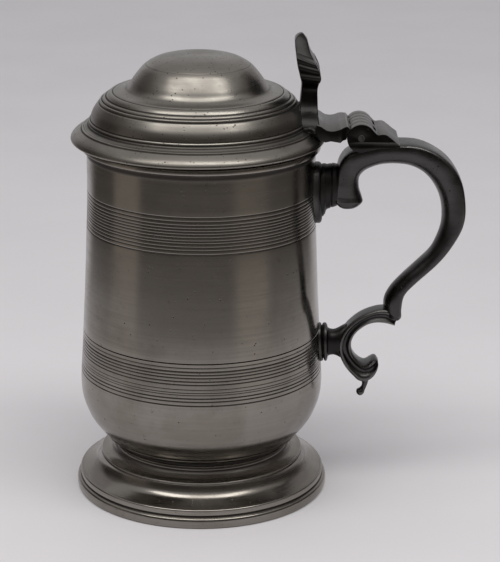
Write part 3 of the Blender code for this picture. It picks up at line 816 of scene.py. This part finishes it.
# Side outlines from the foot of the lever to the crest, as (x, z), and the half width at
# matching heights.
THUMB_BACK = [(46.6, 171.0), (45.0, 175.0), (44.4, 180.4), (44.6, 186.0), (44.9, 190.4),
              (44.9, 193.6), (44.0, 197.6), (42.9, 202.2), (42.2, 206.6), (41.8, 210.4),
              (42.0, 212.8), (43.2, 214.4), (44.7, 215.15)]
THUMB_FRONT = [(55.0, 171.0), (53.2, 175.0), (52.4, 180.0), (52.2, 185.0), (52.1, 190.0),
               (52.6, 193.2), (53.4, 196.6), (52.5, 199.9), (50.9, 203.2), (48.9, 206.6),
               (47.9, 209.6), (47.2, 212.2), (45.8, 214.4)]
THUMB_HALF = [(171.0, 15.4), (175.0, 15.0), (178.0, 12.5), (181.0, 8.6), (184.0, 6.5),
              (188.0, 5.6), (191.0, 5.9), (193.4, 8.4), (194.8, 10.9), (196.0, 12.3),
              (197.2, 12.7), (198.2, 12.1), (198.8, 11.9), (199.8, 12.7), (201.2, 12.9),
              (202.2, 12.2), (202.8, 12.1), (203.8, 12.4), (204.8, 11.9), (205.3, 10.2),
              (205.7, 8.6), (207.0, 7.6), (209.0, 6.3), (211.0, 4.9), (213.0, 3.2),
              (214.5, 1.6), (215.15, 0.8)]


def rounded_ring(x0, z0, x1, z1, half):
    """A rounded rectangle across the lever, its back at (x0, z0) and its front at (x1, z1)."""
    depth = math.hypot(x1 - x0, z1 - z0)
    radius = min(0.7, depth * 0.45, half * 0.9)
    ring = []
    for cu, cy, start in ((depth - radius, half - radius, 0), (radius, half - radius, 90),
                          (radius, radius - half, 180), (depth - radius, radius - half, 270)):
        for u, y in arc(cu, cy, radius, start, start + 90, 4):
            ring.append((x0 + (x1 - x0) * u / depth, y, z0 + (z1 - z0) * u / depth))
    return ring


def make_thumbpiece(material):
    backs = smooth(THUMB_BACK, 9)
    fronts = smooth(THUMB_FRONT, 9)
    heights, halves = zip(*smooth(THUMB_HALF, 4))
    rings = []
    for (x0, z0), (x1, z1) in zip(backs, fronts):
        half = float(np.interp((z0 + z1) / 2, heights, halves))
        rings.append(rounded_ring(x0, z0, x1, z1, half))
    obj = skin("thumbpiece_chairback", rings, 38.0)
    for side in (-1, 1):
        hole = [(side * 6.0 + 2.7 * math.cos(a), 199.6 + 3.7 * math.sin(a)) for a in circle(32)]
        ends = [[(x, y, z) for y, z in hole] for x in (36.0, 60.0)]
        cut_away(obj, skin("piercing", ends))
    shade(obj, 38.0)
    return place(obj, "lid", "thumbpiece", material)


def make_solder(material):
    """Lumps of solder where the lever and the leaf meet the lid, as (centre, half sizes)."""
    lumps = [((44.8, -5.0, 181.2), (1.6, 3.6, 1.6)), ((45.0, 4.2, 181.0), (1.6, 3.8, 1.6)),
             ((49.0, -14.4, 173.6), (3.4, 2.2, 2.2)), ((49.4, 14.4, 173.4), (3.2, 2.2, 2.0))]
    shape = bmesh.new()
    for i, (centre, size) in enumerate(lumps):
        lump = bmesh.ops.create_icosphere(shape, subdivisions=4, radius=MM)["verts"]
        for vert in lump:
            wobble = 1.0 + 0.28 * noise.noise(vert.co / MM * 1.6 + Vector((i * 5.1, 0.0, 0.0)))
            vert.co = Vector([c * MM + r * half * wobble
                              for c, r, half in zip(centre, vert.co, size)])
    obj = new_piece("solder_fillet", shape)
    shade(obj, 60.0)
    return place(obj, "lid", None, material)


# ---------------------------------------------------------------- stage, light and camera

def floor_paper():
    material, n, shader = new_material("floor_paper")
    position = n.add("TexCoord").outputs["Object"]
    clouds = n.ramp(n.noise(position, 9.0, 4.0), 0.3, 0.7)
    tone = n.mix(clouds, PAPER, [c * 0.97 for c in PAPER])
    n.tree.links.new(tone, shader.inputs["Base Color"])
    shader.inputs["Roughness"].default_value = 0.7
    shader.inputs["Specular IOR Level"].default_value = 0.1
    return material


def room_card():
    """Painted shade and light for the metal to reflect: paper underfoot, a dark room in painted
    shade, a lit window to the left, a lit table to the right, painted paler on high.
    """
    material, n, shader = new_material("room_card")
    axes = n.add("SeparateXYZ", {0: n.add("TexCoord").outputs["Object"]}).outputs
    distance = n.from_axis(axes)
    side = n.math("ARCTAN2", axes[0], n.math("MULTIPLY", axes[1], -1.0))
    beyond_paper = n.ramp(distance, 0.22, 0.58)
    ahead = n.ramp(n.math("ABSOLUTE", side), math.radians(144), math.radians(126))
    window = n.ramp(n.math("ABSOLUTE", n.math("ADD", side, math.radians(76))),
                    math.radians(21), math.radians(11), 0.0, 0.75)
    table = n.ramp(n.math("ABSOLUTE", n.math("SUBTRACT", side, math.radians(50))),
                   math.radians(24), math.radians(10), 0.0, 0.8)
    table = n.math("MULTIPLY", table, n.ramp(distance, 0.66, 0.42, 0.12, 1.0))
    # Painted shade for the room, with painted light for the window and the table.
    dark = n.mix(window, (0.125, 0.115, 0.105), (0.50, 0.45, 0.41))
    dark = n.mix(table, dark, (0.62, 0.56, 0.49))
    # Painted light: the walls grow paler higher up.
    dark = n.mix(n.ramp(axes[2], 0.9, 2.8), dark, (0.40, 0.385, 0.37))
    tone = n.mix(n.math("MULTIPLY", beyond_paper, ahead), PAPER, dark)
    n.tree.links.new(tone, shader.inputs["Base Color"])
    shader.inputs["Roughness"].default_value = 0.9
    shader.inputs["Specular IOR Level"].default_value = 0.0
    return material


def make_floor():
    shape = bmesh.new()
    bmesh.ops.create_circle(shape, cap_ends=True, segments=96, radius=9.0)
    floor = add_object("floor", mesh_from(shape, "floor"))
    floor.data.materials.append(floor_paper())


def make_room():
    """The darker room in front and at the sides, in painted shade and light, which only the
    metal's reflections show.

    It lies just over the floor out to the walls, and everything in it is in metres.
    """
    lift = 0.002
    wall = 3.4
    profile = [(0.20, lift), (0.55, lift), (1.2, lift), (3.2, lift)]
    profile += [(wall, height) for height in (0.25, 1.0, 2.0, 2.9)]
    spread = [math.radians(a) for a in range(-150, 151, 5)]
    shape = bmesh.new()
    rows = []
    for radius, height in profile:
        rows.append([shape.verts.new((radius * math.sin(a), -radius * math.cos(a), height))
                     for a in spread])
    for near, far in zip(rows[:-1], rows[1:]):
        for k in range(len(spread) - 1):
            shape.faces.new((near[k], near[k + 1], far[k + 1], far[k]))
    room = add_object("room", mesh_from(shape, "room"))
    room.location.x = AXIS_X
    room.visible_camera = False
    room.visible_diffuse = False
    room.visible_shadow = False
    room.data.materials.append(room_card())


def make_light():
    """An even white room and one bank of light overhead, in metres and watts."""
    world = bpy.data.worlds.new("studio")
    bpy.context.scene.world = world
    world.use_nodes = True
    background = world.node_tree.nodes["Background"]
    background.inputs["Color"].default_value = (1.0, 0.985, 1.0, 1.0)
    background.inputs["Strength"].default_value = 0.53
    data = bpy.data.lights.new("overhead_bank", "AREA")
    data.shape = "RECTANGLE"
    data.size = 1.7
    data.size_y = 0.45
    data.energy = 8.4
    data.color = (1.0, 0.985, 0.97)
    bank = add_object("overhead_bank", data)
    bank.location = (AXIS_X, -0.38, 1.2)


# The photograph's viewpoint: metres from the drum's axis on the floor, then angles in radians.
CAMERA_SPOT = Vector((0.02265, -0.924, 0.3949))
CAMERA_DOWN = math.radians(17.774)
CAMERA_TURN = 0.000238
CAMERA_ROLL = 0.00629


def make_camera():
    data = bpy.data.cameras.new("camera")
    data.sensor_width = 36.0
    data.lens = 134.52
    data.clip_start = 0.01
    camera = add_object("camera", data)
    spot = Matrix.Translation(CAMERA_SPOT + Vector((AXIS_X, 0.0, 0.0)))
    turn = Matrix.Rotation(CAMERA_TURN, 4, "Z")
    tilt = Matrix.Rotation(math.radians(90) - CAMERA_DOWN, 4, "X")
    roll = Matrix.Rotation(CAMERA_ROLL, 4, "Z")
    camera.matrix_world = spot @ turn @ tilt @ roll
    bpy.context.scene.camera = camera
    bpy.context.scene.view_settings.view_transform = "Standard"


# ---------------------------------------------------------------- build

BODY_METAL = turned_pewter("turned_pewter", (0.27, 0.252, 0.225), (0.225, 0.205, 0.18),
                           roughness=0.16, pits=0.60, lathe=1.0)
LID_METAL = turned_pewter("turned_pewter_lid", (0.265, 0.25, 0.222), (0.215, 0.20, 0.178),
                          roughness=0.27, pits=0.50, lathe=1.4)
HANDLE_METAL = cast_pewter("cast_pewter", (0.062, 0.060, 0.059), (0.34, 0.33, 0.31),
                           roughness=0.27)
# Painted shade: a darker copy of the cast pewter for the sockets and the pin.
SOCKET_METAL_SHADED = cast_pewter("cast_pewter_sockets_shaded", (0.030, 0.029, 0.028), (0.16, 0.155, 0.15),
                           roughness=0.40)
# The hinge and thumbpiece get strong painted shade on their faces across the handle.
HINGE_METAL = cast_pewter("cast_pewter_hinge", (0.10, 0.097, 0.093), (0.40, 0.39, 0.36),
                          roughness=0.32, side_shade=0.85)
# The solder's near-black colour: partly its own dark tone, partly painted shade where lever and
# leaf meet the lid.
SOLDER_METAL_SHADED = cast_pewter("solder", (0.03, 0.029, 0.028), (0.10, 0.095, 0.09), roughness=0.45)

make_drum(BODY_METAL)
make_bowl(BODY_METAL)
make_base_disc(BODY_METAL)
make_foot(BODY_METAL)
make_upper_socket(SOCKET_METAL_SHADED)
make_lower_socket(SOCKET_METAL_SHADED)
make_upper_scroll(HANDLE_METAL)
make_lower_scroll(HANDLE_METAL)
make_curl(HANDLE_METAL)
make_hinge_block(HINGE_METAL)
make_hinge_pin(SOCKET_METAL_SHADED)
make_lid(LID_METAL)
make_bezel(LID_METAL)
make_hinge_leaf(HINGE_METAL)
make_thumbpiece(HINGE_METAL)
make_solder(SOLDER_METAL_SHADED)
make_floor()
make_room()
make_light()
make_camera()
